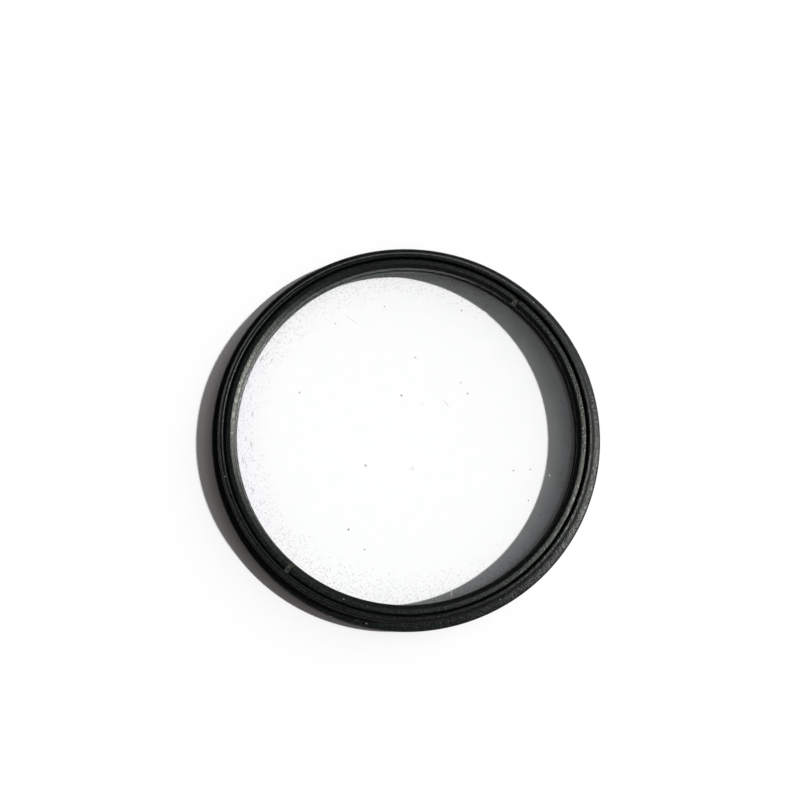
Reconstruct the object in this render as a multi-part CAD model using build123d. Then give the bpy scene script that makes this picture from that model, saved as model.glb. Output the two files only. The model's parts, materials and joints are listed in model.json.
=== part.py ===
from build123d import *
import os
from math import pi

# A screw-in lens filter: a turned ring with a male thread behind and a female thread in front, a
# flat glass disc in its pocket, and a slotted threaded ring that holds the glass on its lip.
# Lengths are millimetres. The origin is the centre of the front rim face, on which the filter
# lies, and +Z is the optical axis, towards the lens that the filter screws into.
# Threads are plain walls at their crest radius.

# Filter thread
thread_radius = 26.0
thread_pitch = 0.75
female_depth_share = 0.5413
thread_play = 0.05
male_lead = 0.45
female_lead = 0.4
relief_width = 0.35
relief_depth = 0.5

# Rim that the fingers hold, with a straight knurl between two plain edges
rim_stand_out = 1.05
rim_edge_break = 0.2
knurl_pitch = 1.0
knurl_width = 0.5
knurl_depth = 0.15
knurl_plain_edge = 0.5

# Shoulder that stops against the lens, undercut at its root
shoulder_web = 0.6
undercut_depth = 0.1
undercut_clearance = 0.15

# Front recess and the lip that carries the glass
front_recess = 2.1
lip_edge = 0.43
lip_bevel_width = 0.35
lip_bevel_drop = 0.17
lip_width = 1.55

# Pocket wall behind the lip
wall_under_relief = 0.4
pocket_edge_break = 0.2

# Glass disc
glass_thickness = 0.7
glass_play = 0.2
glass_edge_break = 0.15

# Retaining ring
retainer_play = 0.05
retainer_width = 1.4
retainer_edge_break = 0.2
retainer_recess = 0.45
bore_bevel_width = 0.55
bore_bevel_drop = 0.2
slot_width = 0.85
slot_depth = 0.4
slot_floor = 0.75
slot_count = 2
slot_angle = 50.0

# Radii that follow, from the rim inwards
rim_radius = thread_radius + rim_stand_out
female_radius = thread_radius - female_depth_share * thread_pitch
female_relief_radius = female_radius + relief_depth
male_radius = thread_radius - thread_play
male_relief_radius = male_radius - relief_depth
undercut_radius = male_radius + undercut_clearance
pocket_radius = male_relief_radius - wall_under_relief
lip_radius = pocket_radius - lip_width
glass_radius = pocket_radius - glass_play
retainer_radius = pocket_radius - retainer_play
retainer_bore = retainer_radius - retainer_width
bevel_radius = retainer_bore + bore_bevel_width

# Heights that follow, from the rim face up
lip_top = front_recess + lip_edge + lip_bevel_drop
undercut_floor = front_recess + shoulder_web
shoulder_height = undercut_floor + undercut_depth
glass_top = lip_top + glass_thickness
slot_bottom = glass_top + slot_floor
retainer_top = slot_bottom + slot_depth
frame_height = retainer_top + retainer_recess


def turned(points):
    """Closed section of (radius, height) corners, turned about the optical axis."""
    section = make_face(Plane.XZ * Polyline(*points, close=True))
    return revolve(section, Axis.Z)


def rim_side():
    """Outside corners of the frame, from the rim face up to the end of the male thread."""
    return [
        (rim_radius - rim_edge_break, 0),
        (rim_radius, rim_edge_break),
        (rim_radius, shoulder_height - rim_edge_break),
        (rim_radius - rim_edge_break, shoulder_height),
        (undercut_radius, shoulder_height),
        (undercut_radius, undercut_floor),
        (male_relief_radius, undercut_floor),
        (male_relief_radius, shoulder_height + relief_width),
        (male_radius, shoulder_height + relief_width),
        (male_radius, frame_height - male_lead),
        (male_radius - male_lead, frame_height),
    ]


def pocket_side():
    """Inside corners of the frame, from the end of the male thread down to the lip."""
    return [
        (pocket_radius + pocket_edge_break, frame_height),
        (pocket_radius, frame_height - pocket_edge_break),
        (pocket_radius, lip_top),
        (lip_radius + lip_bevel_width, lip_top),
        (lip_radius, lip_top - lip_bevel_drop),
        (lip_radius, front_recess),
    ]


def front_side():
    """Corners of the female front thread, from the lip down to the rim face."""
    return [
        (female_relief_radius, front_recess),
        (female_relief_radius, front_recess - relief_width),
        (female_radius, front_recess - relief_width),
        (female_radius, female_lead),
        (female_radius + female_lead, 0),
    ]


def knurl_grooves():
    """Straight V grooves, evenly spaced round the rim."""
    count = round(2 * pi * rim_radius / knurl_pitch)
    groove_bottom = (rim_radius - knurl_depth, 0)
    groove_mouth = [(rim_radius + knurl_depth, side * knurl_width) for side in (1, -1)]
    section = make_face(Polyline(groove_bottom, *groove_mouth, close=True))
    groove = extrude(section, shoulder_height - 2 * knurl_plain_edge)
    return PolarLocations(0, count) * (Pos(Z=knurl_plain_edge) * groove)


def filter_frame():
    """Turned ring of rim, threads, pocket and lip, with the knurl cut round its rim."""
    return turned(rim_side() + pocket_side() + front_side()) - knurl_grooves()


def filter_glass():
    """Flat disc on the lip, with its sharp edges broken."""
    rim_of_face = glass_radius - glass_edge_break
    return turned([
        (0, lip_top),
        (rim_of_face, lip_top),
        (glass_radius, lip_top + glass_edge_break),
        (glass_radius, glass_top - glass_edge_break),
        (rim_of_face, glass_top),
        (0, glass_top),
    ])


def spanner_slots():
    """Straight slots across the top of the retaining ring, evenly spaced round it."""
    middle = (retainer_bore + retainer_radius) / 2
    slot = Box(2 * retainer_width, slot_width, 2 * slot_depth)
    return PolarLocations(middle, slot_count, slot_angle) * slot


def retaining_ring():
    """Ring that clamps the glass on its lip, with a bevelled bore and spanner slots."""
    ring = turned([
        (retainer_bore, glass_top),
        (retainer_radius, glass_top),
        (retainer_radius, retainer_top - retainer_edge_break),
        (retainer_radius - retainer_edge_break, retainer_top),
        (bevel_radius, retainer_top),
        (retainer_bore, retainer_top - bore_bevel_drop),
    ])
    return ring - [Pos(Z=retainer_top) * slot for slot in spanner_slots()]


pieces = {
    "filter_frame": filter_frame,
    "filter_glass": filter_glass,
    "retaining_ring": retaining_ring,
}

os.makedirs("parts", exist_ok=True)
for name, build in pieces.items():
    export_step(build(), f"parts/{name}.step")
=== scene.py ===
"""Looks of a screw-in lens filter: a black anodised frame, a clear glass and its retaining ring.

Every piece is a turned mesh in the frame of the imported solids, in metres, with the optical axis
on +Z and the front rim face on the floor. Threads, rounded edges and finishes are added here.
"""

import json
import logging
import math
from dataclasses import dataclass, field
from enum import Enum
from typing import NamedTuple, Sequence

import bmesh
import bpy
import numpy as np
from mathutils import Matrix, Vector


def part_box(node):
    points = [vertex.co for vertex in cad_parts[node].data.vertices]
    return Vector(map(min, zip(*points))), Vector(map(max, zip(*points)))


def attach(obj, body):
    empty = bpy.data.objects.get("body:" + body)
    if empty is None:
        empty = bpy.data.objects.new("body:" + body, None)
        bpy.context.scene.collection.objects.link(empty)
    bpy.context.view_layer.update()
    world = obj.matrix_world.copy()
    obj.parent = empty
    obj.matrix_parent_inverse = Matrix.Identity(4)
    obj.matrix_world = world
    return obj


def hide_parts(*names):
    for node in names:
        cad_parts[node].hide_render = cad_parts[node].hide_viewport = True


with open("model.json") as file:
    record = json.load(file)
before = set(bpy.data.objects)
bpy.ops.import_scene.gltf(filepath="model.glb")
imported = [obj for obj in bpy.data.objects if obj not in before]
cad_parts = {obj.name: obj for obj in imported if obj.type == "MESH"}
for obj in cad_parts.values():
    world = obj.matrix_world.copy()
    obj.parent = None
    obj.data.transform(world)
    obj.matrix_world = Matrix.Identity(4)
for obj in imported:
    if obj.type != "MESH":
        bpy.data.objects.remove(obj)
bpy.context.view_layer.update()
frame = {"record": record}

Colour = tuple[float, float, float]
Direction = tuple[float, float, float]
Span = tuple[float, float]
Pixel = tuple[float, float]
Rows = list[np.ndarray]
Socket = bpy.types.NodeSocket

MM = 0.001
WELD_DISTANCE = 0.0002 * MM
SHARP_EDGE = math.radians(32)
COARSE_TURN = math.radians(30)
FINE_TURN = math.radians(15)
LEAST_TURN = math.radians(1)
TURN_SLACK = 0.01
FACES_UP = 0.9
NOISE_SPAN: Span = (0.3, 0.7)
NOISE_CORE: Span = (0.35, 0.65)

log = logging.getLogger("lens_filter")


class Corner(NamedTuple):
    """One corner of a turned section, with the radius that its edge is rounded to."""

    radius: float
    height: float
    rounding: float = 0.0


class ThreadSide(Enum):
    """Which way a thread is cut into its wall: the value points from crest to root."""

    MALE = -1
    FEMALE = 1


class LeadEnd(Enum):
    """The end of a thread that is chamfered to lead the mating thread in."""

    TOP = 1
    BOTTOM = -1


def outer_radius(node: str) -> float:
    """Radius of a solid about the optical axis."""
    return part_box(node)[1].x


def heights(node: str) -> tuple[float, float]:
    """Lowest and highest point of a solid along the optical axis."""
    low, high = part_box(node)
    return low.z, high.z


def mount(name: str) -> dict:
    """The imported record's mount of that name."""
    return next(m for m in frame["record"]["mounts"] if m["name"] == name)


def mount_radius(name: str) -> float:
    """Radius of a round mount, in metres."""
    return mount(name)["dims"]["r_mm"] * MM


def mount_span(name: str) -> tuple[float, float]:
    """Lowest and highest point of a round mount along the optical axis.

    Args:
        name: the mount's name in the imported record.

    Returns:
        The two heights, in metres.
    """
    middle = mount(name)["pos_m"][2]
    half = mount(name)["dims"]["length_mm"] * MM / 2
    return middle - half, middle + half


def rounded(corners: Sequence[Corner], turn_per_step: float = COARSE_TURN) -> list[Corner]:
    """Rounds the inner corners of an open chain with tangent arcs.

    Args:
        corners: the chain's corners in order; its two ends stay as they are.
        turn_per_step: the most that an arc turns from one point to the next.

    Returns:
        The points of the chain, arcs included.
    """
    points = [corners[0]]
    for before, corner, after in zip(corners, corners[1:], corners[2:]):
        here = Vector(corner[:2])
        back = (Vector(before[:2]) - here).normalized()
        ahead = (Vector(after[:2]) - here).normalized()
        turn = math.pi - back.angle(ahead)
        if corner.rounding == 0 or turn < LEAST_TURN:
            points.append(corner)
            continue
        reach = corner.rounding * math.tan(turn / 2)
        centre = here + (back + ahead).normalized() * corner.rounding / math.cos(turn / 2)
        start = here + back * reach - centre
        end = here + ahead * reach - centre
        steps = max(1, math.ceil(turn / turn_per_step - TURN_SLACK))
        for step in range(steps + 1):
            share = step / steps
            bow = (start * math.sin((1 - share) * turn) + end * math.sin(share * turn)) / math.sin(turn)
            points.append(Corner(*(centre + bow)))
    return points + [corners[-1]]


@dataclass(frozen=True)
class ScrewThread:
    """A right-hand thread on a turned wall, chamfered at its lead end."""

    side: ThreadSide
    lead_end: LeadEnd
    crest_radius: float
    low: float
    high: float
    lead: float
    pitch: float = 0.75 * MM
    flank_angle: float = math.radians(30)
    depth_share: float = 0.6
    crest_share: float = 1 / 8
    edge_break: float = 0.015 * MM
    flank_steps: int = 3
    turned_on: float = 0.0
    turns_below: int = 2
    turns_above: int = 1

    def form(self) -> tuple[np.ndarray, np.ndarray]:
        """One pitch of the thread's form.

        Returns:
            Heights from the middle of a crest to the middle of the next, and depths below it.
        """
        depth = self.depth_share * self.pitch
        run = math.tan(self.flank_angle)
        crest = self.crest_share * self.pitch / 2
        depths = np.linspace(self.edge_break, depth, self.flank_steps)
        rise = np.concatenate([[crest - self.edge_break], crest + depths * run])
        drop = np.concatenate([[0.0], depths])
        return np.concatenate([rise, self.pitch - rise[::-1]]), np.concatenate([drop, drop[::-1]])

    def lead_limit(self, height: np.ndarray) -> np.ndarray:
        """Works out the lead chamfer, continued past the plain wall.

        Args:
            height: the height at each column.

        Returns:
            The chamfer's radius at each column.
        """
        if self.lead_end is LeadEnd.TOP:
            past = height - (self.high - self.lead)
        else:
            past = self.low + self.lead - height
        return self.crest_radius + self.side.value * past

    def rows(self, angles: np.ndarray) -> Rows:
        """Rows of the threaded wall, from its low end to its high end.

        Args:
            angles: the angle of each column round the optical axis, one whole turn.

        Returns:
            Arrays of radius and height for each column. Rows follow the helix, and lie on each
            other where it has not yet begun or has run out.
        """
        rise, drop = self.form()
        climb = self.pitch * (angles + self.turned_on) / (2 * math.pi)
        first = math.floor(self.low / self.pitch) - self.turns_below
        last = math.ceil(self.high / self.pitch) + self.turns_above
        cut = np.minimum if self.side is ThreadSide.MALE else np.maximum
        rows = []
        for turn in range(first, last):
            for offset in rise:
                height = np.clip(turn * self.pitch + offset + climb, self.low, self.high)
                phase = np.mod(height - climb, self.pitch)
                depth = np.interp(phase, rise, drop, left=0.0, right=0.0)
                radius = self.crest_radius + self.side.value * depth
                rows.append(np.stack([cut(radius, self.lead_limit(height)), height], axis=1))
        return rows


class TurnedMesh:
    """A closed section carried round the optical axis on a fan of columns."""

    def __init__(self, angles: np.ndarray) -> None:
        """Sets the columns up; the last one is the first one a whole turn on.

        Args:
            angles: the columns' angles in order.
        """
        self.angles = np.append(angles, angles[0] + 2 * math.pi)
        self.rows: Rows = []
        self.skews: Rows = []

    def plain(self, corners: Sequence[Corner]) -> None:
        """Adds a chain of section points that are the same in every column."""
        for corner in corners:
            self.add(np.tile(np.array(corner[:2]), (len(self.angles), 1)))

    def add(self, row: np.ndarray, skew: np.ndarray | None = None) -> None:
        """Adds one row of radius and height for each column, turned aside by skew if given."""
        self.rows.append(row)
        self.skews.append(np.zeros(len(self.angles)) if skew is None else skew)

    def thread(self, thread: ScrewThread, downwards: bool = False) -> None:
        """Adds a threaded wall.

        Args:
            thread: the thread.
            downwards: whether the wall runs from its high end down, and not from its low end up.
        """
        rows = thread.rows(self.angles)
        for row in reversed(rows) if downwards else rows:
            self.add(row)

    def object(self, name: str) -> bpy.types.Object:
        """Makes the mesh object: welded, smooth, and sharp where faces meet at an angle.

        Args:
            name: the piece's name.

        Returns:
            The new object, linked to the scene.
        """
        section = np.array(self.rows)
        turn = self.angles + np.array(self.skews)
        radius = section[:, :, 0]
        points = np.stack([radius * np.cos(turn), radius * np.sin(turn), section[:, :, 1]], axis=2)
        count, columns = radius.shape
        index = np.arange(count * columns).reshape(count, columns)
        following = np.roll(index, -1, axis=0)
        faces = np.stack([index[:, :-1], index[:, 1:], following[:, 1:], following[:, :-1]], axis=2)
        mesh = bpy.data.meshes.new(name)
        mesh.from_pydata(points.reshape(-1, 3).tolist(), [], faces.reshape(-1, 4).tolist())
        self.weld(mesh)
        mesh.shade_smooth()
        mesh.set_sharp_from_angle(angle=SHARP_EDGE)
        made = bpy.data.objects.new(name, mesh)
        bpy.context.scene.collection.objects.link(made)
        normals = made.modifiers.new("face_weighted_normals", "WEIGHTED_NORMAL")
        normals.keep_sharp = True
        return made

    @staticmethod
    def weld(mesh: bpy.types.Mesh) -> None:
        """Joins points that lie on each other and turns all faces outwards.

        Args:
            mesh: the mesh, which is changed in place.
        """
        work = bmesh.new()
        work.from_mesh(mesh)
        bmesh.ops.remove_doubles(work, verts=work.verts, dist=WELD_DISTANCE)
        bmesh.ops.dissolve_degenerate(work, edges=work.edges, dist=WELD_DISTANCE)
        bmesh.ops.recalc_face_normals(work, faces=work.faces)
        work.to_mesh(mesh)
        work.free()


class NodeSheet:
    """A node tree that is laid out one node at a time."""

    def __init__(self, tree: bpy.types.NodeTree) -> None:
        """Starts on an emptied tree."""
        self.tree = tree
        tree.nodes.clear()

    def add(self, kind: str, inputs: dict | None = None, **settings: object) -> bpy.types.Node:
        """Adds a node.

        Args:
            kind: the node's type, without its Shader prefix.
            inputs: by name or number, the value of an input or the output that feeds it.
            settings: the node's own settings.

        Returns:
            The new node.
        """
        node = self.tree.nodes.new("Shader" + kind)
        for setting, value in settings.items():
            setattr(node, setting, value)
        for key, value in (inputs or {}).items():
            if isinstance(value, Socket):
                self.tree.links.new(value, node.inputs[key])
            else:
                node.inputs[key].default_value = value
        return node

    def math(self, operation: str, *values: object) -> Socket:
        """Adds a Math node on its values and returns its output."""
        return self.add("NodeMath", dict(enumerate(values)), operation=operation).outputs[0]

    def times(self, first: Socket, *others: object) -> Socket:
        """Multiplies values with each other.

        Args:
            first: the first value.
            others: the other values.

        Returns:
            Their product.
        """
        product = first
        for other in others:
            product = self.math("MULTIPLY", product, other)
        return product

    def most(self, first: Socket, *others: Socket) -> Socket:
        """Picks the greatest of several values.

        Args:
            first: the first value.
            others: the other values.

        Returns:
            The greatest.
        """
        greatest = first
        for other in others:
            greatest = self.math("MAXIMUM", greatest, other)
        return greatest

    def less(self, share: Socket, loss: float) -> Socket:
        """Gives 1 where a share is 0, and falls by the loss where the share is 1."""
        return self.math("MULTIPLY_ADD", share, -loss, 1.0)

    def vector(self, operation: str, *values: object) -> Socket:
        """Adds a Vector Math node on its values and returns the vector that it gives."""
        return self.add("NodeVectorMath", dict(enumerate(values)), operation=operation).outputs[0]

    def measure(self, operation: str, *values: object) -> Socket:
        """Adds a Vector Math node on its values and returns the number that it gives."""
        return self.add("NodeVectorMath", dict(enumerate(values)), operation=operation).outputs["Value"]

    def scaled(self, vector: object, share: Socket) -> Socket:
        """Scales a vector or a colour by a share."""
        return self.add("NodeVectorMath", {0: vector, "Scale": share}, operation="SCALE").outputs[0]

    def part(self, vector: Socket, axis: str) -> Socket:
        """Picks the X, Y or Z part of a vector."""
        return self.add("NodeSeparateXYZ", {0: vector}).outputs[axis]

    def without_height(self, place: Socket) -> Socket:
        """Moves a place down to height 0."""
        return self.vector("MULTIPLY", place, (1, 1, 0))

    def in_mm(self, place: Socket) -> Socket:
        """Scales a place to millimetres, in which a texture's Scale stays well inside its limits."""
        return self.vector("MULTIPLY", place, (1 / MM, 1 / MM, 1 / MM))

    def ramp(self, value: Socket, span: Span, low: float = 0.0, high: float = 1.0) -> Socket:
        """Maps a value smoothly from a span onto low to high.

        Args:
            value: the output to map.
            span: the value that gives low and the value that gives high.
            low: the result at the span's start.
            high: the result at its end.

        Returns:
            The mapped output.
        """
        inputs = {"Value": value, "From Min": span[0], "From Max": span[1], "To Min": low, "To Max": high}
        return self.add("NodeMapRange", inputs, interpolation_type="SMOOTHSTEP").outputs[0]

    def noise(self, place: Socket, size: float) -> Socket:
        """Adds noise whose blotches are about size across and returns its value."""
        inputs = {"Vector": self.in_mm(place), "Scale": MM / size, "Detail": 2.0}
        return self.add("NodeTexNoise", inputs).outputs["Fac"]

    def cells(self, place: Socket, size: float, dimensions: str = "3D") -> bpy.types.NodeOutputs:
        """Adds Voronoi cells that are about size across and returns all their outputs."""
        inputs = {"Vector": self.in_mm(place), "Scale": MM / size}
        return self.add("NodeTexVoronoi", inputs, voronoi_dimensions=dimensions).outputs

    def luck(self, cells: bpy.types.NodeOutputs) -> bpy.types.NodeOutputs:
        """Three random numbers from 0 to 1 for each cell."""
        return self.add("NodeSeparateColor", {0: cells["Color"]}).outputs

    def blend(self, share: Socket, first: Colour | Socket, second: Colour) -> Socket:
        """Mixes two colours.

        Args:
            share: how much of the second colour there is.
            first: the first colour, or an output that gives it.
            second: the second colour.

        Returns:
            The mixed colour.
        """
        start = (*first, 1) if isinstance(first, tuple) else first
        inputs = {"Factor": share, 6: start, 7: (*second, 1)}
        return self.add("NodeMix", inputs, data_type="RGBA").outputs[2]


@dataclass(frozen=True)
class AnodisedFinish:
    """Satin black anodising over bead-blasted, turned aluminium, with a painted sheen on its upward flat
    faces and a few grains of pale dust.
    """

    name: str
    bevel_lean: float = 0.0
    turning_lean: float = math.radians(12)
    flat_from: Span = (0.97, 0.99)
    bevel_from: Span = (0.86, 0.9)
    wall_below: Span = (0.2, 0.4)
    cool_black: Colour = (0.0016, 0.0032, 0.0035)
    warm_black: Colour = (0.0022, 0.003, 0.0031)
    tone_size: float = 9.0 * MM
    # painted sheen: upward flat faces are made a lighter teal black, standing in for the dim room's
    # reflection
    flat_painted_sheen: Colour = (0.0034, 0.0058, 0.0063)
    painted_sheen_share: float = 0.7
    gloss: float = 0.26
    gloss_tint: Colour = (0.98, 1.0, 0.93)
    roughness: Span = (0.29, 0.4)
    wear_size: float = 0.5 * MM
    grain_size: float = 0.27 * MM
    grain_height: float = 0.075 * MM
    grain_tone: Span = (0.3, 1.8)
    pit_size: float = 0.22 * MM
    pit_share: float = 0.32
    pit_height: float = 0.022 * MM
    wall_smoothing: float = 0.7
    bevel_grain_loss: float = 0.5
    bevel_pit_loss: float = 0.8
    lint_colour: Colour = (0.3, 0.3, 0.31)
    lint_size: float = 0.6 * MM
    lint_chance: float = 0.016
    lint_reach: Span = (0.1, 0.18)

    def material(self) -> bpy.types.Material:
        """Makes the finish.

        Returns:
            A node material.
        """
        made = bpy.data.materials.new(self.name)
        made.use_nodes = True
        sheet = NodeSheet(made.node_tree)
        place = sheet.add("NodeTexCoord").outputs["Object"]
        flat, bevel, wall = self.turned_faces(sheet)
        normal = self.blasted(sheet, place, bevel, wall)
        surface = sheet.add("NodeBsdfPrincipled", {
            "Base Color": self.black(sheet, place, flat),
            "Roughness": sheet.ramp(sheet.noise(place, self.wear_size), NOISE_SPAN, *self.roughness),
            "Specular IOR Level": self.gloss,
            "Specular Tint": (*self.gloss_tint, 1),
            "Normal": self.leaning(sheet, place, normal, flat, bevel),
        })
        sheet.add("NodeOutputMaterial", {"Surface": surface.outputs[0]})
        return made

    def turned_faces(self, sheet: NodeSheet) -> tuple[Socket, Socket, Socket]:
        """Tells the turned faces apart by their slope.

        Args:
            sheet: the material's nodes.

        Returns:
            How far a point is on a flat face, on a shallow bevel and on an upright wall.
        """
        upward = sheet.part(sheet.add("NodeNewGeometry").outputs["True Normal"], "Z")
        flat = sheet.ramp(upward, self.flat_from)
        bevel = sheet.math("SUBTRACT", sheet.ramp(upward, self.bevel_from), flat)
        wall = sheet.ramp(sheet.math("ABSOLUTE", upward), self.wall_below, 1.0, 0.0)
        return flat, bevel, wall

    def black(self, sheet: NodeSheet, place: Socket, flat: Socket) -> Socket:
        """Mixes the blacks of the anodising, which vary with the grain, with a painted sheen on upward flat
        faces, under pale dust.

        Args:
            sheet: the material's nodes.
            place: the point on the piece.
            flat: how far the point is on a flat face.

        Returns:
            The colour of the metal.
        """
        tone = sheet.ramp(sheet.noise(place, self.tone_size), NOISE_CORE)
        black = sheet.blend(tone, self.cool_black, self.warm_black)
        # painted sheen: upward flat faces turn a lighter teal black, where the room's reflection would
        # lighten them
        black = sheet.blend(sheet.times(flat, self.painted_sheen_share), black, self.flat_painted_sheen)
        grain = sheet.ramp(sheet.noise(place, self.grain_size), NOISE_CORE, *self.grain_tone)
        return sheet.blend(self.lint(sheet, place), sheet.scaled(black, grain), self.lint_colour)

    def lint(self, sheet: NodeSheet, place: Socket) -> Socket:
        """Scatters a few grains of pale dust.

        Args:
            sheet: the material's nodes.
            place: the point on the piece.

        Returns:
            The share of the metal that they cover.
        """
        cells = sheet.cells(place, self.lint_size)
        there = sheet.math("LESS_THAN", sheet.luck(cells)[0], self.lint_chance)
        return sheet.times(there, sheet.ramp(cells["Distance"], self.lint_reach, 1.0, 0.0))

    def blasted(self, sheet: NodeSheet, place: Socket, bevel: Socket, wall: Socket) -> Socket:
        """Adds the grain and pits that bead blasting leaves, less of both on bevels and walls.

        Args:
            sheet: the material's nodes.
            place: the point on the piece.
            bevel: how far the point is on a bevel.
            wall: how far it is on an upright wall.

        Returns:
            The roughened normal.
        """
        off_walls = sheet.less(wall, self.wall_smoothing)
        pits = sheet.cells(place, self.pit_size)
        pitted = sheet.add("NodeBump", {
            "Height": sheet.ramp(pits["Distance"], (0.0, self.pit_share)),
            "Strength": sheet.times(off_walls, sheet.less(bevel, self.bevel_pit_loss)),
            "Distance": self.pit_height,
        })
        grained = sheet.add("NodeBump", {
            "Height": sheet.noise(place, self.grain_size),
            "Strength": sheet.times(off_walls, sheet.less(bevel, self.bevel_grain_loss)),
            "Distance": self.grain_height,
            "Normal": pitted.outputs[0],
        })
        return grained.outputs[0]

    def leaning(self, sheet: NodeSheet, place: Socket, normal: Socket, flat: Socket,
                bevel: Socket) -> Socket:
        """Leans the normal of turned faces as their feed marks lie: flat ones outwards, bevels round.

        Args:
            sheet: the material's nodes.
            place: the point on the piece.
            normal: the normal before.
            flat: how far the point is on a flat face.
            bevel: how far it is on a bevel.

        Returns:
            The leaning normal.
        """
        outward = sheet.vector("NORMALIZE", sheet.without_height(place))
        round_axis = sheet.vector("CROSS_PRODUCT", (0, 0, 1), outward)
        leans = ((outward, flat, self.turning_lean), (round_axis, bevel, self.bevel_lean))
        for along, share, lean in leans:
            shift = sheet.scaled(along, sheet.times(share, math.tan(lean)))
            normal = sheet.vector("ADD", normal, shift)
        return sheet.vector("NORMALIZE", normal)


@dataclass(frozen=True)
class Viewpoint:
    """Where the filter is seen from, and the lens and the square picture that it is seen through."""

    place: tuple[float, float, float] = (-2.6 * MM, -27.79 * MM, 153.16 * MM)
    pitch: float = math.radians(12.196)
    roll: float = math.radians(-0.661)
    lens_mm: float = 49.5
    sensor_mm: float = 36.0
    picture_side: int = 800

    def matrix(self) -> Matrix:
        """Place and turn of the camera."""
        pitch = Matrix.Rotation(self.pitch, 4, "X")
        roll = Matrix.Rotation(self.roll, 4, "Y")
        return Matrix.Translation(self.place) @ pitch @ roll

    def seen_on(self, pixel: Pixel, height: float) -> Vector:
        """Finds the place on a level face that is seen at a pixel.

        Args:
            pixel: the column from the left and the row from the top.
            height: the height of the face.

        Returns:
            The place, moved down to height 0.
        """
        middle = (self.picture_side - 1) / 2
        pixel_mm = self.sensor_mm / self.picture_side
        across = (pixel[0] - middle) * pixel_mm
        upward = (middle - pixel[1]) * pixel_mm
        sight = self.matrix().to_3x3() @ Vector((across, upward, -self.lens_mm))
        eye = Vector(self.place)
        seen = eye + sight * (height - eye.z) / sight.z
        return Vector((seen.x, seen.y, 0))


class DustSpeck(NamedTuple):
    """One grain of dust on the glass: the pixel that it is seen at and how wide it is."""

    seen_at: Pixel
    width: float


class DustFibre(NamedTuple):
    """One straight fibre on the glass: the pixels that its ends are seen at and how wide it is."""

    start: Pixel
    end: Pixel
    width: float


class DustSpots(NamedTuple):
    """Many small spots: their spacing, how many times longer than wide they are, and the most they cover."""

    size: float
    stretch: float
    most: float


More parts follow.
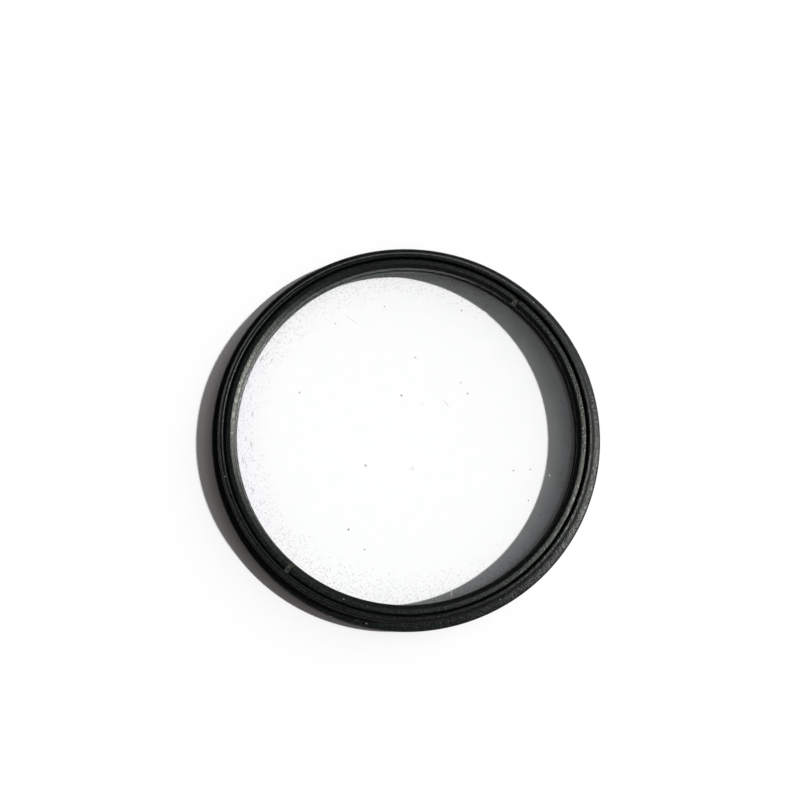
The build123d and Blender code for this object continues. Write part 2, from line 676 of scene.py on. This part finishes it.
@dataclass(frozen=True)
class ClearGlassFinish:
    """Coated clear glass under a thin film of dust, with speckle near its rim, a few grains, and painted
    shade near its rim away from the lamp.
    """

    name: str
    dusty_above: float
    top: float
    edge_radius: float
    view: Viewpoint = Viewpoint()
    refraction: float = 1.5
    tint: Colour = (0.998, 1.0, 1.0)
    coated_glint: Colour = (0.12, 0.12, 0.14)
    polish: Span = (0.0, 0.02)
    polish_size: float = 3.0 * MM
    edge_width: float = 8.0 * MM
    # painted shade: a bluish darkening of the glass near its rim, on the side away from the lamp
    painted_shade_colour: Colour = (0.95, 0.93, 0.965)
    painted_shade_sharpness: float = 6.0
    film_colour: Colour = (0.7, 0.93, 1.0)
    film_share: float = 0.0345
    smear_size: float = 2.5 * MM
    smear_spread: Span = (0.8, 1.25)
    speckle: DustSpots = DustSpots(0.25 * MM, 2.0, 0.29)
    speckle_crowding: float = 1.5
    speckle_across: Span = (0.2, 0.7)
    speckle_chance: Span = (1.25, 0.3)
    streaks: DustSpots = DustSpots(0.34 * MM, 5.0, 0.48)
    streak_chance: float = 0.35
    far_sharpness: float = 8.0
    far_thinning: float = 0.45
    spot_reach: Span = (0.12, 0.5)
    spot_onset: float = 0.1
    thinnest_spot: float = 0.3
    grit_colour: Colour = (0.13, 0.13, 0.14)
    lint_colour: Colour = (0.7, 0.7, 0.72)
    grit_shows: Span = (0.02, 0.08)
    speck_edge: Span = (0.4, 0.7)
    speck_cover: float = 0.95
    fibre_edge: Span = (0.4, 1.0)
    fibre_cover: float = 0.25
    lint_specks: tuple[DustSpeck, ...] = (
        DustSpeck((549, 475), 0.15 * MM),
    )
    lint_fibres: tuple[DustFibre, ...] = (
        DustFibre((451, 591), (451, 595), 0.15 * MM),
    )
    fibres: tuple[DustFibre, ...] = (
        DustFibre((345, 315), (355.5, 322.5), 0.07 * MM),
        DustFibre((443, 400), (448, 405.5), 0.09 * MM),
        DustFibre((420, 405), (424.5, 402.5), 0.06 * MM),
    )
    specks: tuple[DustSpeck, ...] = (
        DustSpeck((401, 395), 0.22 * MM),
        DustSpeck((415, 357), 0.17 * MM),
        DustSpeck((460, 382), 0.15 * MM),
        DustSpeck((467, 393), 0.17 * MM),
        DustSpeck((365, 465), 0.21 * MM),
        DustSpeck((412, 468), 0.15 * MM),
        DustSpeck((364, 549), 0.18 * MM),
        DustSpeck((348, 529), 0.22 * MM),
        DustSpeck((513, 470), 0.17 * MM),
        DustSpeck((530, 469), 0.14 * MM),
        DustSpeck((528, 500), 0.16 * MM),
        DustSpeck((299, 392), 0.17 * MM),
        DustSpeck((384, 306), 0.16 * MM),
        DustSpeck((335, 323), 0.14 * MM),
        DustSpeck((461, 310), 0.17 * MM),
    )

    def material(self) -> bpy.types.Material:
        """Makes the finish.

        Returns:
            A node material that lets lamps through.
        """
        made = bpy.data.materials.new(self.name)
        made.use_nodes = True
        sheet = NodeSheet(made.node_tree)
        place = sheet.add("NodeTexCoord").outputs["Object"]
        flat = sheet.without_height(place)
        glass = sheet.add("NodeBsdfPrincipled", {
            "Base Color": self.tinted_with_painted_shade(sheet, flat),
            "Roughness": sheet.ramp(sheet.noise(place, self.polish_size), NOISE_SPAN, *self.polish),
            "IOR": self.refraction,
            "Transmission Weight": 1.0,
            "Specular Tint": (*self.coated_glint, 1),
        })
        shown = self.dusted(sheet, place, flat, glass.outputs[0])
        through = sheet.add("NodeBsdfTransparent").outputs[0]
        path = sheet.add("NodeLightPath")
        for light in ("Is Diffuse Ray", "Is Shadow Ray"):
            inputs = {0: path.outputs[light], 1: shown, 2: through}
            shown = sheet.add("NodeMixShader", inputs).outputs[0]
        sheet.add("NodeOutputMaterial", {"Surface": shown})
        return made

    def near_rim(self, sheet: NodeSheet, flat: Socket) -> Socket:
        """Grows from 0 in the middle of the glass to 1 at its rim."""
        span = (self.edge_radius - self.edge_width, self.edge_radius)
        return sheet.ramp(sheet.measure("LENGTH", flat), span)

    def far_side(self, sheet: NodeSheet, flat: Socket, sharpness: float) -> Socket:
        """Grows from 0 on the lamp's side of the glass to 1 at the rim away from it."""
        across = sheet.ramp(sheet.part(flat, "X"), (self.edge_radius / 2, -self.edge_radius))
        return sheet.math("POWER", across, sharpness)

    def tinted_with_painted_shade(self, sheet: NodeSheet, flat: Socket) -> Socket:
        """Paints a bluish shade into the glass near its rim on the side away from the lamp, and returns its
        colour.
        """
        # painted shade, strongest at the rim away from the lamp
        painted_rim_shade = sheet.times(self.near_rim(sheet, flat), self.far_side(sheet, flat, self.painted_shade_sharpness))
        return sheet.blend(painted_rim_shade, self.tint, self.painted_shade_colour)

    def dusted(self, sheet: NodeSheet, place: Socket, flat: Socket, glass: Socket) -> Socket:
        """Lays a thin film of dust, its speckle, grains and fibres over the upper face of the glass.

        Args:
            sheet: the material's nodes.
            place: the point on the glass.
            flat: the same point without its height.
            glass: the clean glass.

        Returns:
            The dusty glass.
        """
        grit = sheet.most(self.grit(sheet, flat, self.specks, self.fibres), self.speckled(sheet, flat))
        lint = self.grit(sheet, flat, self.lint_specks, self.lint_fibres)
        smear = sheet.ramp(sheet.noise(flat, self.smear_size), NOISE_SPAN, *self.smear_spread)
        film = sheet.most(grit, lint, sheet.times(smear, self.film_share))
        above = sheet.math("GREATER_THAN", sheet.part(place, "Z"), self.dusty_above)
        colour = sheet.blend(sheet.ramp(grit, self.grit_shows), self.film_colour, self.grit_colour)
        colour = sheet.blend(sheet.ramp(lint, self.grit_shows), colour, self.lint_colour)
        dust = sheet.add("NodeBsdfDiffuse", {"Color": colour})
        inputs = {0: sheet.times(film, above), 1: glass, 2: dust.outputs[0]}
        return sheet.add("NodeMixShader", inputs).outputs[0]

    def speckled(self, sheet: NodeSheet, flat: Socket) -> Socket:
        """Scatters fine dust that thickens towards the rim, and wiping streaks away from the lamp.

        Args:
            sheet: the material's nodes.
            flat: the point on the glass without its height.

        Returns:
            The share of the glass that it covers.
        """
        near = sheet.math("POWER", self.near_rim(sheet, flat), self.speckle_crowding)
        far = self.far_side(sheet, flat, self.far_sharpness)
        across = (self.edge_radius * self.speckle_across[0], self.edge_radius * self.speckle_across[1])
        lamp_side = sheet.ramp(sheet.part(flat, "X"), across, *self.speckle_chance)
        dirty = sheet.times(near, lamp_side, sheet.less(far, self.far_thinning))
        wiped = sheet.times(near, far, self.streak_chance)
        speckle = self.spotted(sheet, flat, self.speckle, dirty)
        return sheet.most(speckle, self.spotted(sheet, flat, self.streaks, wiped))

    def spotted(self, sheet: NodeSheet, flat: Socket, spots: DustSpots, chance: Socket) -> Socket:
        """Scatters spots that are drawn out round the rim.

        Args:
            sheet: the material's nodes.
            flat: the point on the glass without its height.
            spots: the kind of spots.
            chance: how likely one is at the point.

        Returns:
            The share of the glass that they cover.
        """
        turn = sheet.math("ARCTAN2", sheet.part(flat, "Y"), sheet.times(sheet.part(flat, "X"), -1.0))
        arc = sheet.times(turn, self.edge_radius / spots.stretch)
        unrolled = sheet.add("NodeCombineXYZ", {"X": sheet.measure("LENGTH", flat), "Y": arc}).outputs[0]
        cells = sheet.cells(unrolled, spots.size, "2D")
        luck = sheet.luck(cells)
        spot = sheet.ramp(cells["Distance"], self.spot_reach, 1.0, 0.0)
        there = sheet.ramp(sheet.math("SUBTRACT", chance, luck[0]), (0.0, self.spot_onset))
        least = spots.most * self.thinnest_spot
        thick = sheet.math("MULTIPLY_ADD", luck[1], spots.most - least, least)
        return sheet.times(spot, there, thick)

    def on_top(self, pixel: Pixel) -> Vector:
        """The place on the upper face of the glass that is seen at a pixel, without its height."""
        return self.view.seen_on(pixel, self.top)

    def grit(self, sheet: NodeSheet, flat: Socket, specks: Sequence[DustSpeck],
             fibres: Sequence[DustFibre]) -> Socket:
        """Drops grains of dust and fibres.

        Args:
            sheet: the material's nodes.
            flat: the point on the glass without its height.
            specks: the grains.
            fibres: the fibres.

        Returns:
            The share of the glass that they cover.
        """
        covers = []
        for speck in specks:
            away = sheet.measure("DISTANCE", flat, self.on_top(speck.seen_at))
            edge = (speck.width * self.speck_edge[0], speck.width * self.speck_edge[1])
            covers.append(sheet.ramp(away, edge, self.speck_cover, 0.0))
        for fibre in fibres:
            start = self.on_top(fibre.start)
            along = self.on_top(fibre.end) - start
            from_start = sheet.vector("SUBTRACT", flat, start)
            reached = sheet.measure("DOT_PRODUCT", from_start, along / along.length_squared)
            nearest = sheet.scaled(along, sheet.add("NodeClamp", {0: reached}).outputs[0])
            away = sheet.measure("DISTANCE", from_start, nearest)
            edge = (fibre.width * self.fibre_edge[0], fibre.width * self.fibre_edge[1])
            covers.append(sheet.ramp(away, edge, self.fibre_cover, 0.0))
        return sheet.most(*covers)


@dataclass
class FilterFrame:
    """Turned ring with a knurled rim, a male thread behind and a female thread in front."""

    rim_radius: float = field(default_factory=lambda: outer_radius("filter_frame"))
    height: float = field(default_factory=lambda: heights("filter_frame")[1])
    shoulder: float = field(default_factory=lambda: mount("shoulder")["pos_m"][2])
    male_radius: float = field(default_factory=lambda: mount_radius("rear_thread"))
    male_low: float = field(default_factory=lambda: mount_span("rear_thread")[0])
    female_radius: float = field(default_factory=lambda: mount_radius("front_thread"))
    female_high: float = field(default_factory=lambda: mount_span("front_thread")[1])
    glass_seat: float = field(default_factory=lambda: heights("filter_glass")[0])
    rim_edge_break: float = 0.2 * MM
    knurl_grooves: int = 170
    knurl_width: float = 0.5 * MM
    knurl_depth: float = 0.15 * MM
    knurl_plain_edge: float = 0.5 * MM
    knurl_run_out: float = 0.12 * MM
    undercut_radius: float = 26.0 * MM
    undercut_depth: float = 0.1 * MM
    relief_depth: float = 0.5 * MM
    male_lead: float = 0.45 * MM
    male_turned_on: float = math.radians(36)
    female_lead: float = 0.4 * MM
    female_depth_share: float = 0.54
    front_recess: float = 2.1 * MM
    pocket_radius: float = 25.05 * MM
    pocket_edge_round: float = 0.22 * MM
    lip_radius: float = 23.5 * MM
    lip_bevel_width: float = 0.35 * MM
    lip_bevel_drop: float = 0.17 * MM
    soft_edge: float = 0.05 * MM
    fine_edge: float = 0.03 * MM

    def groove_columns(self) -> np.ndarray:
        """Works out the columns of one groove and the land beside it.

        Returns:
            Their angles from the groove: its bottom, its edge, the middle of the land and the far edge.
        """
        pitch = 2 * math.pi / self.knurl_grooves
        edge = self.knurl_width / 2 / self.rim_radius
        return np.array([0.0, edge, pitch / 2, pitch - edge])

    def angles(self) -> np.ndarray:
        """Angles of all columns round the rim."""
        grooves = np.arange(self.knurl_grooves)[:, None] * (2 * math.pi / self.knurl_grooves)
        return (grooves + self.groove_columns()).ravel()

    def rim(self) -> tuple[list[Corner], list[Corner]]:
        """Section of the rim below and above its knurl, from the front face to the thread relief.

        Returns:
            The two chains of points, from the rim face up and on inwards.
        """
        edge_radius = self.rim_radius - self.rim_edge_break
        below = [
            Corner(self.female_radius + self.female_lead, 0),
            Corner(edge_radius, 0, self.soft_edge),
            Corner(self.rim_radius, self.rim_edge_break, self.soft_edge),
            Corner(self.rim_radius, self.knurl_plain_edge),
        ]
        floor = self.shoulder - self.undercut_depth
        relief = self.male_radius - self.relief_depth
        above = [
            Corner(self.rim_radius, self.shoulder - self.knurl_plain_edge),
            Corner(self.rim_radius, self.shoulder - self.rim_edge_break, self.soft_edge),
            Corner(edge_radius, self.shoulder, self.soft_edge),
            Corner(self.undercut_radius, self.shoulder, self.fine_edge),
            Corner(self.undercut_radius, floor),
            Corner(relief, floor),
            Corner(relief, self.male_low),
        ]
        return rounded(below), rounded(above)

    def knurl(self, lathe: TurnedMesh) -> None:
        """Adds the rim's straight V grooves, which run out at both ends.

        Args:
            lathe: the mesh to add them to.
        """
        count = len(lathe.angles)
        radius = np.full(count, self.rim_radius)
        radius[::len(self.groove_columns())] -= self.knurl_depth
        low = self.knurl_plain_edge + self.knurl_run_out
        for height in (low, self.shoulder - low):
            lathe.add(np.stack([radius, np.full(count, height)], axis=1))

    def inside(self) -> list[Corner]:
        """Section from the end of the male thread through the pocket and lip to the front relief.

        Returns:
            The chain of points.
        """
        relief = self.female_radius + self.relief_depth
        return rounded([
            Corner(self.male_radius - self.male_lead, self.height),
            Corner(self.pocket_radius, self.height, self.pocket_edge_round),
            Corner(self.pocket_radius, self.glass_seat),
            Corner(self.lip_radius + self.lip_bevel_width, self.glass_seat, self.fine_edge),
            Corner(self.lip_radius, self.glass_seat - self.lip_bevel_drop, self.fine_edge),
            Corner(self.lip_radius, self.front_recess, self.fine_edge),
            Corner(relief, self.front_recess),
            Corner(relief, self.female_high),
        ], FINE_TURN)

    def build(self) -> bpy.types.Object:
        """Turns the frame, from the rim face up the outside and down the inside.

        Returns:
            The frame's mesh object.
        """
        male = ScrewThread(ThreadSide.MALE, LeadEnd.TOP, self.male_radius, self.male_low, self.height,
                           self.male_lead, turned_on=self.male_turned_on)
        female = ScrewThread(ThreadSide.FEMALE, LeadEnd.BOTTOM, self.female_radius, 0.0, self.female_high,
                             self.female_lead, depth_share=self.female_depth_share)
        below, above = self.rim()
        lathe = TurnedMesh(self.angles())
        lathe.plain(below)
        self.knurl(lathe)
        lathe.plain(above)
        lathe.thread(male)
        lathe.plain(self.inside())
        lathe.thread(female, downwards=True)
        return lathe.object("filter_frame_turned")

    def dress(self, piece: bpy.types.Object) -> None:
        """Gives the frame its finish and its place on the solids.

        Args:
            piece: the frame's mesh object.
        """
        piece.data.materials.append(AnodisedFinish("frame_black_anodised").material())
        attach(piece, "root")
        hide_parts("filter_frame")


@dataclass
class FilterGlass:
    """Flat disc with broken edges."""

    radius: float = field(default_factory=lambda: outer_radius("filter_glass"))
    low: float = field(default_factory=lambda: heights("filter_glass")[0])
    high: float = field(default_factory=lambda: heights("filter_glass")[1])
    edge_break: float = 0.15 * MM
    columns: int = 360
    face_rings: int = 6

    def build(self) -> bpy.types.Object:
        """Turns the disc, in rings from the middle of one face round to the other.

        Returns:
            The disc's mesh object.
        """
        lathe = TurnedMesh(np.arange(self.columns) * 2 * math.pi / self.columns)
        face = np.linspace(0, self.radius - self.edge_break, self.face_rings)
        lathe.plain([Corner(radius, self.low) for radius in face])
        lathe.plain([
            Corner(self.radius, self.low + self.edge_break),
            Corner(self.radius, self.high - self.edge_break),
        ])
        lathe.plain([Corner(radius, self.high) for radius in face[::-1]])
        return lathe.object("filter_glass_disc")

    def dress(self, piece: bpy.types.Object) -> None:
        """Gives the disc its finish and its place on the solids.

        Args:
            piece: the disc's mesh object.
        """
        finish = ClearGlassFinish("clear_glass", (self.low + self.high) / 2, self.high, self.radius)
        piece.data.materials.append(finish.material())
        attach(piece, "root")
        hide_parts("filter_glass")


class RingColumn(NamedTuple):
    """One column of the ring: its angle, the side of its slot if at a slot's wall, and if it is inside."""

    angle: float
    wall_side: int = 0
    in_slot: bool = False


@dataclass
class RetainingRing:
    """Slotted ring that clamps the glass on its lip."""

    radius: float = field(default_factory=lambda: outer_radius("retaining_ring"))
    low: float = field(default_factory=lambda: heights("retaining_ring")[0])
    high: float = field(default_factory=lambda: heights("retaining_ring")[1])
    bore: float = 23.6 * MM
    edge_break: float = 0.26 * MM
    bevel_width: float = 0.55 * MM
    bevel_drop: float = 0.24 * MM
    slot_width: float = 0.85 * MM
    slot_depth: float = 0.4 * MM
    slot_angles: tuple[float, ...] = (math.radians(50), math.radians(230))
    columns: int = 720
    clear_of_slot: float = 1.4
    fine_edge: float = 0.03 * MM
    # the ring's flats carry a stronger painted sheen: a lighter teal black on its upward faces
    black: AnodisedFinish = AnodisedFinish(
        "retainer_black_anodised", math.radians(1.4), math.radians(9), gloss=0.31,
        gloss_tint=(0.96, 1.0, 0.88), flat_painted_sheen=(0.009, 0.0115, 0.0115))
    worn: AnodisedFinish = AnodisedFinish(
        "slot_worn_grey", turning_lean=0.0, cool_black=(0.03, 0.033, 0.027),
        warm_black=(0.036, 0.037, 0.03), painted_sheen_share=0.0)

    def section(self) -> list[Corner]:
        """Works out the ring's section, from its foot at the bore outwards, up and back.

        Returns:
            The points of the section.
        """
        return rounded([
            Corner(self.bore, self.low),
            Corner(self.radius, self.low),
            Corner(self.radius, self.high - self.edge_break, self.fine_edge),
            Corner(self.radius - self.edge_break, self.high, self.fine_edge),
            Corner(self.bore + self.bevel_width, self.high, self.fine_edge),
            Corner(self.bore, self.high - self.bevel_drop, self.fine_edge),
            Corner(self.bore, self.low),
        ])[:-1]

    def columns_round(self) -> list[RingColumn]:
        """Lays the columns out, with two at each slot wall: one beside the slot and one in it.

        Returns:
            The columns in order round the ring.
        """
        half = self.slot_width / (self.bore + self.radius)
        spread = np.arange(self.columns) * 2 * math.pi / self.columns
        columns = []
        for slot in self.slot_angles:
            away = np.angle(np.exp(1j * (spread - slot)))
            spread = spread[np.abs(away) > self.clear_of_slot * half]
            columns.append(RingColumn(slot, in_slot=True))
            for side in (-1, 1):
                columns += [RingColumn(slot + side * half, side, in_slot) for in_slot in (False, True)]
        columns += [RingColumn(angle) for angle in spread]
        columns.sort(key=lambda column: (column.angle, column.in_slot == (column.wall_side < 0)))
        return columns

    def build(self) -> bpy.types.Object:
        """Turns the ring, with straight-sided slots across its top.

        Returns:
            The ring's mesh object, with the slots' floors marked for the second finish.
        """
        columns = self.columns_round()
        lathe = TurnedMesh(np.array([column.angle for column in columns]))
        columns.append(columns[0])
        wall_side = np.array([column.wall_side for column in columns])
        in_slot = np.array([column.in_slot for column in columns])
        middle = (self.bore + self.radius) / 2
        half = self.slot_width / 2
        floor = self.high - self.slot_depth
        for corner in self.section():
            height = np.where(in_slot, min(corner.height, floor), corner.height)
            radius = np.full(len(columns), corner.radius)
            skew = wall_side * (math.asin(half / corner.radius) - half / middle)
            lathe.add(np.stack([radius, height], axis=1), skew)
        made = lathe.object("retaining_ring_slotted")
        for face in made.data.polygons:
            on_floor = abs(face.center.z - floor) < WELD_DISTANCE
            face.material_index = int(on_floor and face.normal.z > FACES_UP)
        return made

    def dress(self, piece: bpy.types.Object) -> None:
        """Gives the ring its finish, worn grey on the slots' floors, and its place on the solids.

        Args:
            piece: the ring's mesh object.
        """
        for finish in (self.black, self.worn):
            piece.data.materials.append(finish.material())
        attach(piece, "root")
        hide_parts("retaining_ring")


class Glow(NamedTuple):
    """A soft patch of light in the room: where it is seen, how wide it is and its colour."""

    towards: Direction
    width: float
    colour: Colour


@dataclass
class Studio:
    """Pale floor, one lamp to the right, dim surroundings and the camera."""

    floor_side: float = 2.0
    floor_gap: float = 0.01 * MM
    floor_white: Colour = (0.95, 0.95, 0.95)
    lamp_towards: Direction = (0.814, -0.016, 1.0)
    lamp_power: float = 3.36
    lamp_width: float = math.radians(2.4)
    overhead: Colour = (0.009, 0.012, 0.013)
    horizon: Colour = (0.31, 0.30, 0.30)
    horizon_fade: Span = (0.08, 0.5)
    glows: tuple[Glow, ...] = (
        Glow(lamp_towards, math.radians(20), (0.42, 0.48, 0.48)),
        Glow((0.612, 0.354, 0.707), math.radians(30), (0.74, 0.70, 0.70)),
        Glow((-0.262, -0.720, 0.643), math.radians(30), (0.215, 0.17, 0.155)),
        Glow((0.75, 0.62, 0.12), math.radians(24), (0.43, 0.47, 0.47)),
    )
    view: Viewpoint = Viewpoint()
    nearest_seen: float = 1.0 * MM

    def floor(self) -> None:
        """Lays the floor just under the rim."""
        half = self.floor_side / 2
        corners = [(-half, -half), (half, -half), (half, half), (-half, half)]
        mesh = bpy.data.meshes.new("floor")
        mesh.from_pydata([(x, y, -self.floor_gap) for x, y in corners], [], [range(4)])
        made = bpy.data.objects.new("floor", mesh)
        bpy.context.scene.collection.objects.link(made)
        paper = bpy.data.materials.new("floor_white")
        paper.use_nodes = True
        sheet = NodeSheet(paper.node_tree)
        surface = sheet.add("NodeBsdfDiffuse", {"Color": (*self.floor_white, 1)})
        sheet.add("NodeOutputMaterial", {"Surface": surface.outputs[0]})
        mesh.materials.append(paper)

    def lamp(self) -> None:
        """Hangs the lamp, as a distant one."""
        light = bpy.data.lights.new("key_lamp", "SUN")
        light.energy = self.lamp_power
        light.angle = self.lamp_width
        made = bpy.data.objects.new("key_lamp", light)
        made.rotation_euler = Vector(self.lamp_towards).to_track_quat("Z", "Y").to_euler()
        bpy.context.scene.collection.objects.link(made)

    def surroundings(self) -> None:
        """Lights the room softly: a grey horizon, a dark ceiling and a few glows."""
        world = bpy.data.worlds.new("room")
        world.use_nodes = True
        bpy.context.scene.world = world
        sheet = NodeSheet(world.node_tree)
        look = sheet.add("NodeTexCoord").outputs["Generated"]
        upward = sheet.ramp(sheet.part(look, "Z"), self.horizon_fade)
        light = sheet.blend(upward, self.horizon, self.overhead)
        for glow in self.glows:
            light = sheet.vector("ADD", light, self.glow_seen(sheet, look, glow))
        shown = sheet.add("NodeBackground", {"Color": light})
        sheet.add("NodeOutputWorld", {"Surface": shown.outputs[0]})

    @staticmethod
    def glow_seen(sheet: NodeSheet, look: Socket, glow: Glow) -> Socket:
        """Works out how much of a glow is seen in a direction.

        Args:
            sheet: the world's nodes.
            look: the direction.
            glow: the glow, which falls off as a bell curve of the angle from its middle.

        Returns:
            The glow's light there.
        """
        near = sheet.measure("DOT_PRODUCT", look, Vector(glow.towards).normalized())
        fall = 2 / glow.width**2
        share = sheet.math("EXPONENT", sheet.math("MULTIPLY_ADD", near, fall, -fall))
        return sheet.scaled(glow.colour, share)

    def camera(self) -> None:
        """Sets the camera up over the filter, looking down and a little forward."""
        data = bpy.data.cameras.new("camera")
        data.lens = self.view.lens_mm
        data.sensor_width = self.view.sensor_mm
        data.clip_start = self.nearest_seen
        made = bpy.data.objects.new("camera", data)
        made.matrix_world = self.view.matrix()
        bpy.context.scene.collection.objects.link(made)
        bpy.context.scene.camera = made

    def set_up(self) -> None:
        """Makes the floor, the light and the camera."""
        bpy.context.scene.view_settings.view_transform = "Standard"
        self.floor()
        self.lamp()
        self.surroundings()
        self.camera()


def main() -> None:
    """Builds and dresses the pieces in order, then sets up the studio."""
    logging.basicConfig(level=logging.INFO, format="%(name)s: %(message)s")
    for part in (FilterFrame(), FilterGlass(), RetainingRing()):
        piece = part.build()
        part.dress(piece)
        log.info("%s: %d faces", piece.name, len(piece.data.polygons))
    Studio().set_up()
    log.info("studio is set up")


if __name__ == "__main__":
    main()
